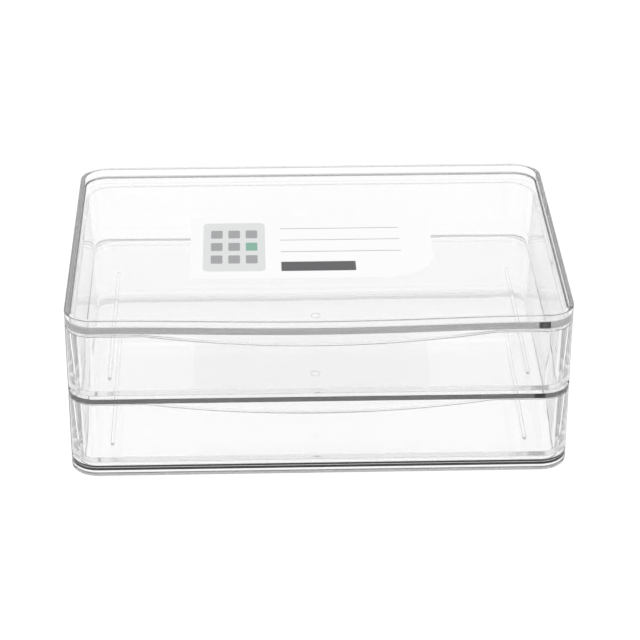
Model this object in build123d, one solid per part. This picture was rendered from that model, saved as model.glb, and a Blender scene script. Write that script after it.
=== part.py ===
"""Clear two-drawer desk organiser: three bonded case mouldings, two sliding drawers and a label.

Millimetres. The origin is the middle of the footprint, on the surface that the unit stands on.
+X is to the right, +Y to the back and +Z up. The drawers pull out towards -Y.
"""
import os

from build123d import *

# Case
case_width = 250.0
case_depth = 175.0
corner_radius = 14.0
case_wall = 2.5
plate = 2.7
edge_round = 0.2
bond_gap = 0.05

# Ring that the unit stands on
foot_height = 3.4
foot_wall = 4.5
foot_round = 0.5
groove_height = 1.1
groove_depth = 4.0

# Raised rim round the top plate
rim_height = 4.5
rim_wall = 2.3
rim_round = 0.4
rim_fillet = 0.8

# Droop of the top plate, deepest in the middle of its front edge
droop = 1.8
droop_width = 210.0
droop_reach = 130.0

# Drawer
drawer_height = 35.0
drawer_wall = 1.7
drawer_front = 2.5
drawer_floor = 1.2
drawer_corner = 15.5
inner_front_corner = 8.0
wall_draft = 3.0
floor_fillet = 0.4
under_round = 0.3
lip_round = 0.2

# Running room round a drawer
front_setback = 0.3
side_clearance = 0.5
upper_clearance = 1.75
lower_clearance = 0.55
back_clearance = 5.7
stop_gap = 0.3
running_gap = 0.05

# Finger dip in the drawer front's top edge
dip_width = 172.0
dip_depth = 6.3

# Grid of points that the drooping surface passes through, a little wider than the case
droop_columns = 30
droop_rows = 8
sheet_margin = 4.0

# Ribs that a drawer runs on
rib_width = 1.8
rib_height = 1.7
rib_round = 0.3
rib_from_side = 17.5
rib_from_front = 17.8
rib_from_back = 39.3

# Gate mark under a drawer's floor
gate_diameter = 5.0
gate_height = 0.4
gate_round = 0.3
gate_from_front = 76.0

# Label on the top plate
label_width = 125.0
label_depth = 70.0
label_corner = 25.0
label_thickness = 0.15
label_offset_x = -1.9
label_offset_y = -1.0

# Heights of the two bays and of the plates that bound them
lower_bay = foot_height + plate
shelf_bottom = lower_bay + running_gap + drawer_height + lower_clearance
upper_bay = shelf_bottom + plate
top_bottom = upper_bay + running_gap + drawer_height + upper_clearance
top_face = top_bottom + plate

# Planes across the depth: the side walls stop where the front corners begin to turn
case_front = -case_depth / 2
wall_front = case_front + corner_radius
drawer_face = case_front + front_setback
drawer_step = wall_front - stop_gap
drawer_back = case_depth / 2 - case_wall - back_clearance
drawer_half_width = case_width / 2 - case_wall - side_clearance
droop_end = case_front + droop_reach


def slab(width, depth, radius, thickness, bottom):
    """Plate with rounded plan corners, centred on the footprint."""
    return Pos(0, 0, bottom) * extrude(RectangleRounded(width, depth, radius), thickness)


def ring(wall, height, bottom):
    """Upright band that follows the case's outline."""
    outer = slab(case_width, case_depth, corner_radius, height, bottom)
    inner = slab(case_width - 2 * wall, case_depth - 2 * wall, corner_radius - wall, height, bottom)
    return outer - inner


def drooped_at(x, y):
    """How far the top lies below its level at a place in plan."""
    across = max(0.0, 1 - (2 * x / droop_width) ** 2)
    along = (droop_end - y) / droop_reach
    return droop * (across * along) ** 2


def drooped_slab(outline, thickness, bottom):
    """Plate of the given outline that droops at the front and is level at the back."""
    half_width = case_width / 2 + sheet_margin
    reach = droop_reach + sheet_margin
    across = [half_width * (2 * i / droop_columns - 1) for i in range(droop_columns + 1)]
    along = [droop_end - reach * (1 - i / droop_rows) for i in range(droop_rows + 1)]
    points = [[(x, y, bottom - drooped_at(x, y)) for y in along] for x in across]
    drooping = extrude(Face.make_surface_from_array_of_points(points), thickness, dir=(0, 0, 1))
    level = Box(2 * half_width, case_depth, thickness, align=(Align.CENTER, Align.MIN, Align.MIN))
    column = Pos(0, 0, bottom - 2 * droop) * extrude(outline, thickness + 4 * droop)
    return (drooping + Pos(0, droop_end, bottom) * level) & column


def drooped_edges(solid, level):
    """Edges of a drooping plate that run round it at the given level."""
    edges = solid.edges().filter_by_position(Axis.Z, level - droop - edge_round, level + edge_round)
    return edges.filter_by(lambda edge: abs(edge.center().Y - droop_end) > edge_round)


def case_plate(bottom):
    """One of the case's level plates, with its outer edges broken."""
    panel = slab(case_width, case_depth, corner_radius, plate, bottom)
    level_edges = panel.edges().group_by(Axis.Z)
    return fillet(level_edges[0] + level_edges[-1], edge_round)


def bay_walls(bottom, top):
    """Side and back walls of one bay, run up into the plate that covers it."""
    height = top - bottom + plate / 2 - bond_gap
    walls = ring(case_wall, height, bottom + bond_gap)
    opening = Box(
        case_width + 2 * case_wall,
        corner_radius + case_wall,
        height,
        align=(Align.CENTER, Align.MAX, Align.MIN),
    )
    return walls - Pos(0, wall_front, bottom + bond_gap) * opening


def make_upper_shell():
    """Top plate with its raised rim, and the walls round the upper drawer."""
    outer = RectangleRounded(case_width, case_depth, corner_radius)
    inner = RectangleRounded(case_width - 2 * rim_wall, case_depth - 2 * rim_wall, corner_radius - rim_wall)
    pocket = drooped_slab(inner, 2 * rim_height, top_face)
    pocket = fillet(drooped_edges(pocket, top_face), rim_fillet)
    top = drooped_slab(outer, plate + rim_height, top_bottom) - pocket
    top = fillet(drooped_edges(top, top_face + rim_height), rim_round)
    return top + bay_walls(upper_bay, top_bottom)


def make_lower_shell():
    """Middle shelf and the walls round the lower drawer."""
    return case_plate(shelf_bottom) + bay_walls(lower_bay, shelf_bottom)


def make_base_plate():
    """Floor of the lower bay, with the grooved foot ring under it."""
    foot = ring(foot_wall, foot_height + plate / 2, 0)
    foot -= ring(groove_depth, groove_height, foot_height - groove_height)
    foot = fillet(foot.edges().group_by(Axis.Z)[0], foot_round)
    return case_plate(foot_height) + foot


def drawer_front_block():
    """Front of a drawer: it wraps round the case's front corners as far as the side walls."""
    block = slab(
        case_width - 2 * front_setback,
        case_depth - 2 * front_setback,
        corner_radius - front_setback,
        drawer_height - rib_height,
        rib_height,
    )
    block = fillet(block.edges().group_by(Axis.Z)[0], under_round)
    behind = Box(case_width, case_depth, drawer_height, align=(Align.CENTER, Align.MIN, Align.MIN))
    return block - Pos(0, drawer_step, 0) * behind


def drawer_body_block():
    """Body of a drawer, which runs between the side walls and is rooted in the front block."""
    root = drawer_step - drawer_front
    outline = Rectangle(2 * drawer_half_width, drawer_back - root)
    outline = fillet(outline.vertices().group_by(Axis.Y)[-1], drawer_corner)
    block = extrude(outline, drawer_height - rib_height)
    block = fillet(block.edges().group_by(Axis.Z)[0], under_round)
    return Pos(0, (root + drawer_back) / 2, rib_height) * block


def drawer_cavity():
    """Inside of a drawer: it narrows towards the floor, whose edges are filleted."""
    front = drawer_face + drawer_front
    back = drawer_back - drawer_wall
    depth = drawer_height - rib_height - drawer_floor
    outline = Rectangle(2 * (drawer_half_width - drawer_wall), back - front)
    outline = fillet(outline.vertices().group_by(Axis.Y)[0], inner_front_corner)
    outline = fillet(outline.vertices().group_by(Axis.Y)[-1], drawer_corner - drawer_wall)
    hollow = extrude(Pos(0, (front + back) / 2, drawer_height) * outline, -depth, taper=wall_draft)
    return fillet(hollow.edges().group_by(Axis.Z)[0], floor_fillet)


def finger_dip():
    """Cut for the shallow arc in the top edge of a drawer's front."""
    left = (-dip_width / 2, drawer_height)
    right = (dip_width / 2, drawer_height)
    lowest = (0, drawer_height - dip_depth)
    above_left = (-dip_width / 2, drawer_height + dip_depth)
    above_right = (dip_width / 2, drawer_height + dip_depth)
    outline = ThreePointArc(left, lowest, right) + Polyline(right, above_right, above_left, left)
    profile = Plane.XZ * make_face(outline)
    return Pos(0, drawer_face, 0) * extrude(profile, 2 * drawer_front, both=True)


def runner_rib():
    """One of the two long ribs under a drawer's floor, round at both ends."""
    front = drawer_face + rib_from_front
    back = drawer_back - rib_from_back
    outline = Pos(0, (front + back) / 2) * Rot(0, 0, 90) * SlotOverall(back - front, rib_width)
    rib = extrude(outline, rib_height + drawer_floor / 2)
    return fillet(rib.edges().group_by(Axis.Z)[0], rib_round)


def gate_mark():
    """Low disc left under the floor where the moulding was filled."""
    height = gate_height + drawer_floor / 2
    disc = Cylinder(gate_diameter / 2, height, align=(Align.CENTER, Align.CENTER, Align.MIN))
    disc = fillet(disc.edges().group_by(Axis.Z)[0], gate_round)
    return Pos(0, drawer_face + gate_from_front, rib_height - gate_height) * disc


def make_drawer(bay_floor):
    """A drawer that runs on its ribs on the plate at the given height."""
    tray = drawer_front_block() + drawer_body_block() - drawer_cavity() - finger_dip()
    lip_low = drawer_height - dip_depth - lip_round
    tray = fillet(tray.edges().filter_by_position(Axis.Z, lip_low, drawer_height), lip_round)
    for side in (-1, 1):
        tray += Pos(side * (drawer_half_width - rib_from_side), 0, 0) * runner_rib()
    tray += gate_mark()
    return Pos(0, 0, bay_floor + running_gap) * tray


def make_label():
    """Paper label with one large round corner, at the front right."""
    outline = Rectangle(label_width, label_depth)
    round_corner = outline.vertices().group_by(Axis.X)[-1].sort_by(Axis.Y)[0]
    outline = Pos(label_offset_x, label_offset_y) * fillet(round_corner, label_corner)
    return drooped_slab(outline, label_thickness, top_face + bond_gap)


pieces = {
    "upper_shell": make_upper_shell(),
    "lower_shell": make_lower_shell(),
    "base_plate": make_base_plate(),
    "upper_drawer": make_drawer(upper_bay),
    "lower_drawer": make_drawer(lower_bay),
    "label": make_label(),
}

os.makedirs("parts", exist_ok=True)
for name, piece in pieces.items():
    export_step(piece, os.path.join("parts", name + ".step"))
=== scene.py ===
"""Studio picture of a clear desk organiser with two pull-out drawers.

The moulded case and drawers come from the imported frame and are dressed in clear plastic. The paper label is
a new sheet that replaces the frame's plain one. Metres, +X right, +Y back, +Z up.
"""
import logging
import math
from dataclasses import dataclass
from enum import Enum

import bpy
import numpy as np
from mathutils import Matrix, Vector


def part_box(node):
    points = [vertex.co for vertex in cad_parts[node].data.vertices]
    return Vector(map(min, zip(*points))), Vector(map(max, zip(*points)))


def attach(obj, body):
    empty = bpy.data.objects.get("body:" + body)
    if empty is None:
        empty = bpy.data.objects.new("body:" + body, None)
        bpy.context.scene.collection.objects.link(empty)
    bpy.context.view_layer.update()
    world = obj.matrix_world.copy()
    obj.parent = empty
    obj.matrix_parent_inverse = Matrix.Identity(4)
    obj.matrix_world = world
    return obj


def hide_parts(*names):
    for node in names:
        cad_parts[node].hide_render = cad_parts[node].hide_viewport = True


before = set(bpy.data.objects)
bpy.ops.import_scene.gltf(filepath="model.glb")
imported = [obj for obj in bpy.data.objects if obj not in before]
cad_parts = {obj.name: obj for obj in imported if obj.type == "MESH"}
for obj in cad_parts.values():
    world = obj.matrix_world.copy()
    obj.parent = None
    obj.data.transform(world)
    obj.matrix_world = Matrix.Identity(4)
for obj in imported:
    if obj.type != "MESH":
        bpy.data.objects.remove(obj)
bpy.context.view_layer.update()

MM = 0.001

# Skin of a moulding: noise densities per metre, noise detail, and the smudge noise that dulls the gloss
RIPPLE_DETAIL = 1.0
RIPPLE_ROUGHNESS = 0.35
SMUDGE_DENSITY = 34.0
SMUDGE_DETAIL = 5.0
SMUDGE_RANGE = (0.5, 0.75)
GRAIN_DENSITY = 900.0
DRIFT_DENSITY = 9.0
FINE_DETAIL = 2.0

# Upright part of a face's direction where it leaves upright faces and where it reaches level ones
UPRIGHT_RANGE = (0.12, 0.3)
LEVEL_RANGE = (0.92, 0.985)

# Depths between which the painted shade of the edges falls to its share at the back
FADE_RANGE = (0.0, 60 * MM)

# Half width of the soft border of printed ink
INK_BORDER = 0.05 * MM

log = logging.getLogger("clear_organiser")

Colour = tuple[float, float, float, float]
Socket = bpy.types.NodeSocket


class Body(Enum):
    """Body of the frame that the new sheet rides on."""

    CASE = "case"


class Slot(Enum):
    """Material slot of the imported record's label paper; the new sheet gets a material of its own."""

    LABEL = "label_paper"


class Ink(Enum):
    """Inks that the label is printed in, as linear colours."""

    CHARCOAL = (0.10, 0.10, 0.105, 1.0)
    GREY = (0.36, 0.36, 0.37, 1.0)
    PALE = (0.74, 0.75, 0.75, 1.0)
    SAGE = (0.23, 0.44, 0.34, 1.0)


class Wiring:
    """Places the nodes of one shader tree and joins them."""

    def __init__(self, tree: bpy.types.NodeTree) -> None:
        """Keeps the tree and empties it."""
        self.tree = tree
        tree.nodes.clear()

    def add(self, kind: str, inputs: dict | None = None, **settings: object) -> bpy.types.Node:
        """Adds one node.

        Args:
            kind: Blender's name of the node type.
            inputs: Values or sockets for the node's inputs, by input name or number.
            settings: The node's own options.

        Returns:
            The new node.
        """
        node = self.tree.nodes.new(kind)
        for name, value in settings.items():
            setattr(node, name, value)
        for name, value in (inputs or {}).items():
            if isinstance(value, Socket):
                self.tree.links.new(value, node.inputs[name])
            else:
                node.inputs[name].default_value = value
        return node

    def math(self, operation: str, first: Socket | float, second: Socket | float = 0.0) -> Socket:
        """Adds a Math node and gives its output."""
        return self.add("ShaderNodeMath", {0: first, 1: second}, operation=operation).outputs[0]

    def blend(self, share: Socket, first: Socket | Colour, second: Socket | Colour) -> Socket:
        """Adds a colour Mix node and gives its output."""
        node = self.add("ShaderNodeMix", {0: share, 6: first, 7: second}, data_type="RGBA")
        return node.outputs[2]

    def spread(
        self, value: Socket, low: float, high: float, to_low: float, to_high: Socket | float,
    ) -> Socket:
        """Adds a smooth Map Range node and gives its output."""
        ends = {"Value": value, "From Min": low, "From Max": high, "To Min": to_low, "To Max": to_high}
        return self.add("ShaderNodeMapRange", ends, interpolation_type="SMOOTHSTEP").outputs[0]


class NodeGroup:
    """A shader node group with named sockets, built once."""

    def __init__(self, name: str, inputs: dict[str, str], outputs: dict[str, str]) -> None:
        """Makes the group's interface; a socket's kind is Float, Vector or Color."""
        self.tree = bpy.data.node_groups.new(name, "ShaderNodeTree")
        self.wiring = Wiring(self.tree)
        for way, sockets in (("INPUT", inputs), ("OUTPUT", outputs)):
            for label, kind in sockets.items():
                self.tree.interface.new_socket(label, in_out=way, socket_type="NodeSocket" + kind)
        self.inlet = self.wiring.add("NodeGroupInput").outputs
        self.outlet = self.wiring.add("NodeGroupOutput").inputs

    def give(self, label: str, value: Socket) -> None:
        """Joins a value to one of the group's outputs."""
        self.tree.links.new(value, self.outlet[label])

    def place(self, wiring: Wiring, inputs: dict[str, object]) -> bpy.types.NodeOutputs:
        """Puts the group in a material's tree and gives its outputs."""
        node = wiring.tree.nodes.new("ShaderNodeGroup")
        node.node_tree = self.tree
        for label, value in inputs.items():
            if isinstance(value, Socket):
                wiring.tree.links.new(value, node.inputs[label])
            else:
                node.inputs[label].default_value = value
        return node.outputs


def moulded_skin_group() -> NodeGroup:
    """Skin of a polished moulding: slow flow ripples, and patches where hands have dulled the gloss.

    Returns:
        A group that turns object coordinates into a ripple height, a roughness and a tint mask.
    """
    group = NodeGroup(
        "moulded_skin",
        {"Place": "Vector", "Ripple Density": "Float", "Gloss": "Float", "Dulled": "Float"},
        {"Height": "Float", "Roughness": "Float", "Tint": "Float"},
    )
    nodes, inlet = group.wiring, group.inlet
    ripple = nodes.add("ShaderNodeTexNoise", {"Vector": inlet["Place"], "Scale": inlet["Ripple Density"],
                                              "Detail": RIPPLE_DETAIL, "Roughness": RIPPLE_ROUGHNESS})
    group.give("Height", ripple.outputs[0])
    smudge = nodes.add("ShaderNodeTexNoise", {"Vector": inlet["Place"], "Scale": SMUDGE_DENSITY,
                                              "Detail": SMUDGE_DETAIL})
    patch = nodes.spread(smudge.outputs[0], *SMUDGE_RANGE, 0.0, 1.0)
    grain = nodes.add("ShaderNodeTexNoise", {"Vector": inlet["Place"], "Scale": GRAIN_DENSITY,
                                             "Detail": FINE_DETAIL})
    dulled = nodes.math("MULTIPLY", nodes.math("MULTIPLY", patch, grain.outputs[0]), inlet["Dulled"])
    group.give("Roughness", nodes.math("ADD", dulled, inlet["Gloss"]))
    drift = nodes.add("ShaderNodeTexNoise", {"Vector": inlet["Place"], "Scale": DRIFT_DENSITY,
                                             "Detail": FINE_DETAIL})
    group.give("Tint", drift.outputs[0])
    return group


def painted_edge_shade_group() -> NodeGroup:
    """Painted shade on the rounded edges of a moulding, which are the faces that are neither level nor
    upright.

    Returns:
        A group that turns object coordinates and a face's direction into the mask of the painted shade. It is
        full on the rounded
            edges, has the zone's share on upright faces between the zone's heights, and falls to the back
            share towards the back.
    """
    group = NodeGroup(
        "painted_edge_shade",
        {"Place": "Vector", "Facing": "Vector", "Back Share": "Float",
         "Zone Low": "Float", "Zone High": "Float", "Zone Share": "Float"},
        {"Mask": "Float"},
    )
    nodes, inlet = group.wiring, group.inlet
    tilt = nodes.add("ShaderNodeSeparateXYZ", {0: inlet["Facing"]}).outputs["Z"]
    tilt = nodes.math("ABSOLUTE", tilt)
    off_upright = nodes.spread(tilt, *UPRIGHT_RANGE, 0.0, 1.0)
    off_level = nodes.spread(tilt, *LEVEL_RANGE, 1.0, 0.0)
    place = nodes.add("ShaderNodeSeparateXYZ", {0: inlet["Place"]}).outputs
    above = nodes.math("GREATER_THAN", place["Z"], inlet["Zone Low"])
    below = nodes.math("LESS_THAN", place["Z"], inlet["Zone High"])
    in_zone = nodes.math("MULTIPLY", nodes.math("MULTIPLY", above, below), inlet["Zone Share"])
    shaded = nodes.math("MULTIPLY", nodes.math("MAXIMUM", off_upright, in_zone), off_level)
    share = nodes.spread(place["Y"], *FADE_RANGE, 1.0, inlet["Back Share"])
    group.give("Mask", nodes.math("MULTIPLY", shaded, share))
    return group


def printed_patch_group() -> NodeGroup:
    """Rounded rectangle of ink.

    The mask is full where the signed distance to the rectangle is below zero: the distance is the length of
    the part of |place - middle| - (half - corner) above zero, less the corner radius.

    Returns:
        A group that turns object coordinates into the patch's mask.
    """
    group = NodeGroup(
        "printed_patch",
        {"Place": "Vector", "Middle": "Vector", "Half": "Vector", "Corner": "Float"},
        {"Mask": "Float"},
    )
    nodes, inlet = group.wiring, group.inlet

    def vector(operation: str, *values: Socket | tuple) -> bpy.types.NodeOutputs:
        """Adds a Vector Math node."""
        return nodes.add("ShaderNodeVectorMath", dict(enumerate(values)), operation=operation).outputs

    offset = vector("ABSOLUTE", vector("SUBTRACT", inlet["Place"], inlet["Middle"])[0])[0]
    beyond = vector("MAXIMUM", vector("SUBTRACT", offset, inlet["Half"])[0], (0.0, 0.0, 0.0))[0]
    flat = vector("MULTIPLY", beyond, (1.0, 1.0, 0.0))[0]
    distance = nodes.math("SUBTRACT", vector("LENGTH", flat)["Value"], inlet["Corner"])
    group.give("Mask", nodes.spread(distance, -INK_BORDER, INK_BORDER, 1.0, 0.0))
    return group


@dataclass(frozen=True)
class ClearPlastic:
    """Water-clear polished plastic, with painted shade on its rounded edges, and darker where light runs a
    long way inside it.
    """

    name: str
    absorption: float
    light_tint: Colour = (1.0, 1.0, 1.0, 1.0)
    dark_tint: Colour = (0.988, 0.988, 0.988, 1.0)
    # Colour of the painted shade on rounded edges, its share at the back, and the heights and share of
    # painted shade on upright faces between them
    edge_shade_colour: Colour = (0.1, 0.1, 0.1, 1.0)
    edge_back_share: float = 1.0
    zone: tuple[float, float] = (0.0, 0.0)
    zone_share: float = 0.0
    ior: float = 1.55
    absorption_colour: Colour = (0.36, 0.36, 0.362, 1.0)
    ripple_density: float = 38.0
    ripple_depth: float = 0.012 * MM
    gloss: float = 0.004
    dulled: float = 0.05

    def material(self, skin: NodeGroup, edge: NodeGroup) -> bpy.types.Material:
        """Builds the material.

        Args:
            skin: The moulded-skin group.
            edge: The group that makes the mask of the painted edge shade.

        Returns:
            The new material.
        """
        made = bpy.data.materials.new(self.name)
        made.use_nodes = True
        nodes = Wiring(made.node_tree)
        place = nodes.add("ShaderNodeTexCoord").outputs["Object"]
        look = skin.place(nodes, {"Place": place, "Ripple Density": self.ripple_density,
                                  "Gloss": self.gloss, "Dulled": self.dulled})
        bump = nodes.add("ShaderNodeBump", {"Height": look["Height"], "Distance": self.ripple_depth})
        facing = nodes.add("ShaderNodeNewGeometry").outputs["True Normal"]
        # Mask of the painted shade: rounded edges, and upright faces between the zone's heights, weaker
        # towards the back
        low, high = self.zone
        shade = {"Place": place, "Facing": facing, "Back Share": self.edge_back_share,
                 "Zone Low": low, "Zone High": high, "Zone Share": self.zone_share}
        rounded = edge.place(nodes, shade)["Mask"]
        tint = nodes.blend(look["Tint"], self.light_tint, self.dark_tint)
        body = nodes.add("ShaderNodeBsdfPrincipled", {
            # Painted shade: the colour goes to the edge shade colour where the mask is full
            "Base Color": nodes.blend(rounded, tint, self.edge_shade_colour),
            "Roughness": look["Roughness"],
            "IOR": self.ior,
            "Transmission Weight": 1.0,
            "Normal": bump.outputs[0],
        })
        lamp_ray = nodes.add("ShaderNodeLightPath").outputs["Is Shadow Ray"]
        clear = nodes.add("ShaderNodeBsdfTransparent", {"Color": self.light_tint})
        surface = nodes.add("ShaderNodeMixShader", {0: lamp_ray, 1: body.outputs[0], 2: clear.outputs[0]})
        inside = nodes.add("ShaderNodeVolumeAbsorption",
                           {"Color": self.absorption_colour, "Density": self.absorption})
        nodes.add("ShaderNodeOutputMaterial", {"Surface": surface.outputs[0], "Volume": inside.outputs[0]})
        return made


@dataclass(frozen=True)
class Patch:
    """One printed rectangle of the label, in metres from the label's middle."""

    ink: Ink
    middle: tuple[float, float]
    half: tuple[float, float]
    corner: float


@dataclass(frozen=True)
class LabelPaper:
    """Smooth white label paper with printed patches."""

    name: str
    patches: tuple[Patch, ...]
    origin: tuple[float, float]
    paper: Colour = (0.97, 0.97, 0.97, 1.0)
    shaded_paper: Colour = (0.94, 0.94, 0.94, 1.0)
    fibre_density: float = 1500.0
    fibre_detail: float = 4.0
    fibre_depth: float = 0.01 * MM
    fibre_range: tuple[float, float] = (0.2, 0.8)
    roughness_range: tuple[float, float] = (0.5, 0.65)
    upward: float = 0.5

    def material(self, printed: NodeGroup) -> bpy.types.Material:
        """Builds the material.

        Args:
            printed: The printed-patch group.

        Returns:
            The new material.
        """
        made = bpy.data.materials.new(self.name)
        made.use_nodes = True
        nodes = Wiring(made.node_tree)
        place = nodes.add("ShaderNodeTexCoord").outputs["Object"]
        fibre = nodes.add("ShaderNodeTexNoise", {"Vector": place, "Scale": self.fibre_density,
                                                 "Detail": self.fibre_detail}).outputs[0]
        colour = nodes.blend(fibre, self.paper, self.shaded_paper)
        facing = nodes.add("ShaderNodeNewGeometry").outputs["True Normal"]
        height = nodes.add("ShaderNodeSeparateXYZ", {0: facing}).outputs["Z"]
        upper_face = nodes.math("GREATER_THAN", height, self.upward)
        for patch in self.patches:
            corner = patch.corner
            middle = (self.origin[0] + patch.middle[0], self.origin[1] + patch.middle[1], 0.0)
            half = (patch.half[0] - corner, patch.half[1] - corner, 1.0)
            shape = {"Place": place, "Middle": middle, "Half": half, "Corner": corner}
            mask = printed.place(nodes, shape)["Mask"]
            colour = nodes.blend(nodes.math("MULTIPLY", mask, upper_face), colour, patch.ink.value)
        bump = nodes.add("ShaderNodeBump", {"Height": fibre, "Distance": self.fibre_depth})
        body = nodes.add("ShaderNodeBsdfPrincipled", {
            "Base Color": colour,
            "Roughness": nodes.spread(fibre, *self.fibre_range, *self.roughness_range),
            "Normal": bump.outputs[0],
        })
        nodes.add("ShaderNodeOutputMaterial", {"Surface": body.outputs[0]})
        return made


def closed_sheet(name: str, top: np.ndarray, bottom: np.ndarray) -> bpy.types.Object:
    """Makes a thin closed sheet from two grids of points that share their parameters.

    Args:
        name: The new object's name.
        top: Points of the upper face, rows by columns by 3.
        bottom: Points of the lower face, in the same order.

    Returns:
        The new object, linked to the scene.
    """
    rows, columns = top.shape[:2]
    index = np.arange(rows * columns).reshape(rows, columns)
    quads = np.stack([index[:-1, :-1], index[:-1, 1:], index[1:, 1:], index[1:, :-1]], -1).reshape(-1, 4)
    loop = np.concatenate([index[0, :-1], index[:-1, -1], index[-1, :0:-1], index[:0:-1, 0]])
    after = np.roll(loop, -1)
    under = rows * columns
    sides = np.stack([loop, loop + under, after + under, after], -1)
    faces = np.concatenate([quads, quads[:, ::-1] + under, sides])
    points = np.concatenate([top.reshape(-1, 3), bottom.reshape(-1, 3)])
    mesh = bpy.data.meshes.new(name)
    mesh.from_pydata(points.tolist(), [], faces.tolist())
    mesh.update()
    made = bpy.data.objects.new(name, mesh)
    bpy.context.scene.collection.objects.link(made)
    return made


def dress_moulding(node: str, finish: ClearPlastic, skin: NodeGroup, edge: NodeGroup) -> None:
    """Gives one of the frame's clear mouldings its plastic.

    Args:
        node: The moulding's name in the frame.
        finish: The plastic that it is made of.
        skin: The moulded-skin group.
        edge: The group that makes the mask of the painted edge shade.
    """
    material = finish.material(skin, edge)
    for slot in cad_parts[node].material_slots:
        slot.material = material
    log.info("%s dressed in %s", node, material.name)


@dataclass
class Case:
    """The two shells and the base plate, which come from the frame as they are."""

    top_absorption: float = 8.0
    shelf_absorption: float = 17.0
    base_absorption: float = 34.0
    # Colours of the painted shade on the rounded edges of the top and the base, and the heights and share of
    # the painted shade on the foot ring's walls
    top_edge_shade: Colour = (0.45, 0.45, 0.45, 1.0)
    base_edge_shade: Colour = (0.004, 0.004, 0.004, 1.0)
    foot_zone: tuple[float, float] = (-1 * MM, 2.31 * MM)
    foot_share: float = 0.4

    def dress(self, skin: NodeGroup, edge: NodeGroup) -> None:
        """Dresses the three mouldings, with painted shade on their rounded edges and on the foot ring's walls
        below its groove.
        """
        top = ClearPlastic("clear_top_plastic", self.top_absorption, edge_shade_colour=self.top_edge_shade)
        shelf = ClearPlastic("clear_case_plastic", self.shelf_absorption)
        base = ClearPlastic("clear_base_plastic", self.base_absorption, edge_shade_colour=self.base_edge_shade,
                            zone=self.foot_zone, zone_share=self.foot_share)
        for node, finish in (("upper_shell", top), ("lower_shell", shelf), ("base_plate", base)):
            dress_moulding(node, finish, skin, edge)


@dataclass
class Drawer:
    """One drawer, which comes from the frame as it is."""

    node: str
    bay_floor: float
    # Height and share of the painted shade on the sides of the runner ribs
    rib_height: float = 1.7 * MM
    rib_share: float = 0.6
    absorption: float = 1.5
    ripple_depth: float = 0.002 * MM
    # Colour of the painted shade on the rounded edges, and its share at the back
    edge_shade_colour: Colour = (0.02, 0.02, 0.02, 1.0)
    back_share: float = 0.3

    def dress(self, skin: NodeGroup, edge: NodeGroup) -> None:
        """Dresses the drawer, with painted shade on its rounded edges and on the sides of the runner ribs
        under its floor.
        """
        finish = ClearPlastic(
            self.node + "_plastic", self.absorption, ripple_depth=self.ripple_depth, edge_shade_colour=self.edge_shade_colour,
            edge_back_share=self.back_share, zone=(self.bay_floor, self.bay_floor + self.rib_height),
            zone_share=self.rib_share,
        )
        dress_moulding(self.node, finish, skin, edge)


@dataclass
class Label:
    """Paper label on the top plate, with one large round corner at the front right."""

    node: str = "label"
    corner: float = 25.0 * MM
    level: float = 83.95 * MM
    thickness: float = 0.15 * MM
    droop: float = 1.8 * MM
    droop_width: float = 210.0 * MM
    droop_reach: float = 130.0 * MM
    droop_end: float = 42.5 * MM
    columns: int = 96
    rows: int = 60
    panel_x: float = -40.0 * MM
    panel_half: tuple[float, float] = (16.0 * MM, 27.0 * MM)
    panel_corner: float = 3.0 * MM
    square_pitch: tuple[float, float] = (9.0 * MM, 14.0 * MM)
    square_half: tuple[float, float] = (3.0 * MM, 4.5 * MM)
    square_corner: float = 0.8 * MM
    tinted_square: tuple[int, int] = (0, 1)
    line_x: float = 15.0 * MM
    line_heights: tuple[float, ...] = (20.0 * MM, 7.0 * MM, -6.0 * MM)
    line_half: tuple[float, float] = (31.0 * MM, 0.3 * MM)
    line_corner: float = 0.1 * MM
    bar_middle: tuple[float, float] = (3.0 * MM, -22.0 * MM)
    bar_half: tuple[float, float] = (19.0 * MM, 5.0 * MM)
    bar_corner: float = 0.5 * MM

    def build(self) -> bpy.types.Object:
        """Builds the sheet: each row runs from the left edge to the right edge, which is round at the front.

        The sheet lies on the top plate, whose droop is the largest droop times the square of
        1 - (2 x / droop width)^2 times the square of the share of the droop's reach that is left at y.
        """
        low, high = (np.array(corner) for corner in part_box(self.node))
        across, along = np.meshgrid(np.linspace(0, 1, self.columns), np.linspace(0, 1, self.rows))
        y = low[1] + along * (high[1] - low[1])
        past = np.clip(low[1] + self.corner - y, 0, None)
        right = high[0] - self.corner + np.sqrt(np.clip(self.corner**2 - past**2, 0, None))
        x = low[0] + across * (right - low[0])
        sideways = np.clip(1 - (2 * x / self.droop_width) ** 2, 0, None)
        z = self.level - self.droop * (sideways * (self.droop_end - y) / self.droop_reach) ** 2
        bottom = np.stack([x, y, z], -1)
        return closed_sheet("label_sheet", bottom + np.array([0, 0, self.thickness]), bottom)

    def dress(self, sheet: bpy.types.Object, printed: NodeGroup) -> None:
        """Prints the paper and puts the sheet in the label's place."""
        low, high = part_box(self.node)
        middle = (low + high) / 2
        finish = LabelPaper("printed_label_paper", self.patches(), (middle.x, middle.y))
        sheet.data.materials.append(finish.material(printed))
        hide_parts(self.node)
        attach(sheet, Body.CASE.value)
        log.info("%s replaces %s", sheet.name, self.node)

    def patches(self) -> tuple[Patch, ...]:
        """Lays out the generic print: a panel of nine squares, writing lines and a charcoal bar.

        Returns:
            The patches, from the lowest ink to the uppermost.
        """
        panel = Patch(Ink.PALE, (self.panel_x, 0.0), self.panel_half, self.panel_corner)
        pitch_x, pitch_y = self.square_pitch
        squares = tuple(
            Patch(Ink.SAGE if (row, column) == self.tinted_square else Ink.GREY,
                  (self.panel_x + pitch_x * column, pitch_y * row), self.square_half, self.square_corner)
            for row in (-1, 0, 1) for column in (-1, 0, 1)
        )
        lines = tuple(Patch(Ink.GREY, (self.line_x, y), self.line_half, self.line_corner)
                      for y in self.line_heights)
        bar = Patch(Ink.CHARCOAL, self.bar_middle, self.bar_half, self.bar_corner)
        return (panel, *squares, *lines, bar)


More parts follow.
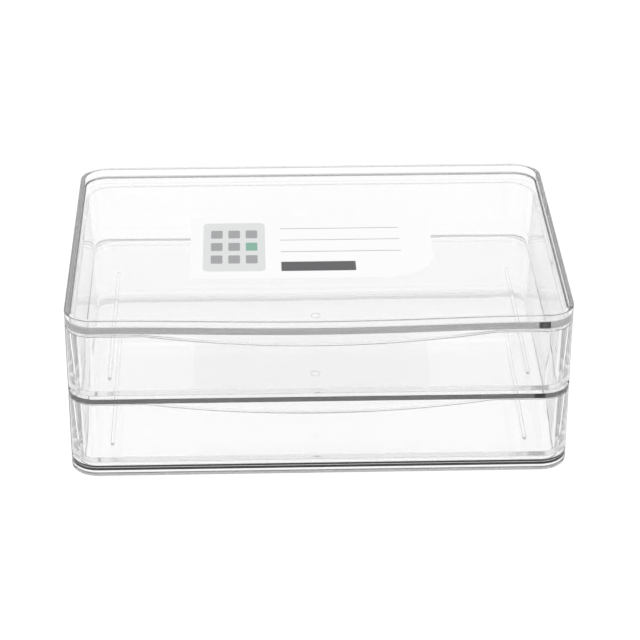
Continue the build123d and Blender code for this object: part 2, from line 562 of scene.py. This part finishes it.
@dataclass
class StudioCamera:
    """Camera at the photograph's place and angle."""

    focal_pixels: float = 2375.16
    frame_pixels: float = 640.0
    elevation: float = 28.747
    yaw: float = 1.883
    roll: float = -0.153
    place: tuple[float, float, float] = (-33.42 * MM, -1096.49 * MM, 641.41 * MM)

    def build(self) -> None:
        """Makes the camera: its forward line tips down by the elevation, after a turn by the yaw."""
        data = bpy.data.cameras.new("studio_camera")
        data.sensor_fit = "HORIZONTAL"
        data.lens = data.sensor_width * self.focal_pixels / self.frame_pixels
        tip, turn, lean = (math.radians(angle) for angle in (self.elevation, self.yaw, self.roll))
        forward = Vector((math.sin(turn) * math.cos(tip), math.cos(turn) * math.cos(tip), -math.sin(tip)))
        level = Vector((math.cos(turn), -math.sin(turn), 0))
        down = forward.cross(level)
        right = math.cos(lean) * level + math.sin(lean) * down
        up = math.sin(lean) * level - math.cos(lean) * down
        turned = Matrix((right, up, -forward)).transposed().to_4x4()
        camera = bpy.data.objects.new("studio_camera", data)
        camera.matrix_world = Matrix.Translation(self.place) @ turned
        bpy.context.scene.collection.objects.link(camera)
        bpy.context.scene.camera = camera


@dataclass
class Studio:
    """White floor, pale dome and one soft lamp."""

    floor_half: float = 6.0
    floor_points: int = 9
    floor_drop: float = 0.05 * MM
    floor_thickness: float = 1.0 * MM
    floor_glow: float = 0.95
    floor_paint: Colour = (0.11, 0.11, 0.11, 1.0)
    floor_bounce: Colour = (0.8, 0.8, 0.8, 1.0)
    dome_low: float = 1.0
    dome_high: float = 0.4
    dome_turn: tuple[float, float] = (0.6, 0.85)
    lamp_size: float = 1.2
    lamp_place: tuple[float, float, float] = (0.15, -0.1, 1.5)
    lamp_power: float = 7.6
    bounces: int = 200

    def build(self) -> None:
        """Makes the floor, the dome and the lamp, and sets the picture's plain colour handling."""
        scene = bpy.context.scene
        scene.view_settings.view_transform = "Standard"
        scene.cycles.max_bounces = self.bounces
        scene.cycles.glossy_bounces = self.bounces
        scene.cycles.transmission_bounces = self.bounces
        scene.cycles.transparent_max_bounces = self.bounces
        scene.cycles.blur_glossy = 0.0
        self.lay_floor()
        self.hang_dome()
        self.hang_lamp()

    def lay_floor(self) -> None:
        """Lays a wide sheet that glows white to the eye and still takes the object's shadow."""
        side = np.linspace(-self.floor_half, self.floor_half, self.floor_points)
        x, y = np.meshgrid(side, side)
        points = np.stack([x, y, np.full_like(x, -self.floor_drop)], -1)
        floor = closed_sheet("studio_floor", points, points - np.array([0, 0, self.floor_thickness]))
        made = bpy.data.materials.new("white_floor")
        made.use_nodes = True
        nodes = Wiring(made.node_tree)
        glow = nodes.add("ShaderNodeEmission", {"Color": (1, 1, 1, 1), "Strength": self.floor_glow})
        paint = nodes.add("ShaderNodeBsdfDiffuse", {"Color": self.floor_paint})
        both = nodes.add("ShaderNodeAddShader", {0: glow.outputs[0], 1: paint.outputs[0]})
        plain = nodes.add("ShaderNodeBsdfDiffuse", {"Color": self.floor_bounce})
        path = nodes.add("ShaderNodeLightPath").outputs
        seen = nodes.math("MAXIMUM", path["Is Camera Ray"], path["Is Glossy Ray"])
        seen = nodes.math("MAXIMUM", seen, path["Is Transmission Ray"])
        mixed = nodes.add("ShaderNodeMixShader", {0: seen, 1: plain.outputs[0], 2: both.outputs[0]})
        nodes.add("ShaderNodeOutputMaterial", {"Surface": mixed.outputs[0]})
        made.cycles.emission_sampling = "NONE"
        floor.data.materials.append(made)

    def hang_dome(self) -> None:
        """Hangs a pale dome that is white to the eye, and greyer overhead for the plastic."""
        world = bpy.data.worlds.new("studio_dome")
        bpy.context.scene.world = world
        world.use_nodes = True
        nodes = Wiring(world.node_tree)
        way = nodes.add("ShaderNodeTexCoord").outputs["Generated"]
        xyz = nodes.add("ShaderNodeSeparateXYZ", {0: way}).outputs
        strength = nodes.spread(xyz["Z"], *self.dome_turn, self.dome_low, self.dome_high)
        white = nodes.add("ShaderNodeBackground", {"Color": (1, 1, 1, 1), "Strength": 1.0})
        pale = nodes.add("ShaderNodeBackground", {"Color": (1, 1, 1, 1), "Strength": strength})
        eye = nodes.add("ShaderNodeLightPath").outputs["Is Camera Ray"]
        mixed = nodes.add("ShaderNodeMixShader", {0: eye, 1: pale.outputs[0], 2: white.outputs[0]})
        nodes.add("ShaderNodeOutputWorld", {"Surface": mixed.outputs[0]})

    def hang_lamp(self) -> None:
        """Hangs one square softbox that faces straight down."""
        data = bpy.data.lights.new("top_softbox", "AREA")
        data.shape = "SQUARE"
        data.size = self.lamp_size
        data.energy = self.lamp_power
        lamp = bpy.data.objects.new("top_softbox", data)
        lamp.location = self.lamp_place
        bpy.context.scene.collection.objects.link(lamp)


def main() -> None:
    """Builds the studio, dresses the mouldings and lays the label."""
    logging.basicConfig(level=logging.INFO, format="%(name)s: %(message)s")
    Studio().build()
    StudioCamera().build()
    skin = moulded_skin_group()
    edge = painted_edge_shade_group()
    Case().dress(skin, edge)
    Drawer("upper_drawer", bay_floor=44.4 * MM).dress(skin, edge)
    Drawer("lower_drawer", bay_floor=6.1 * MM).dress(skin, edge)
    label = Label()
    label.dress(label.build(), printed_patch_group())


if __name__ == "__main__":
    main()
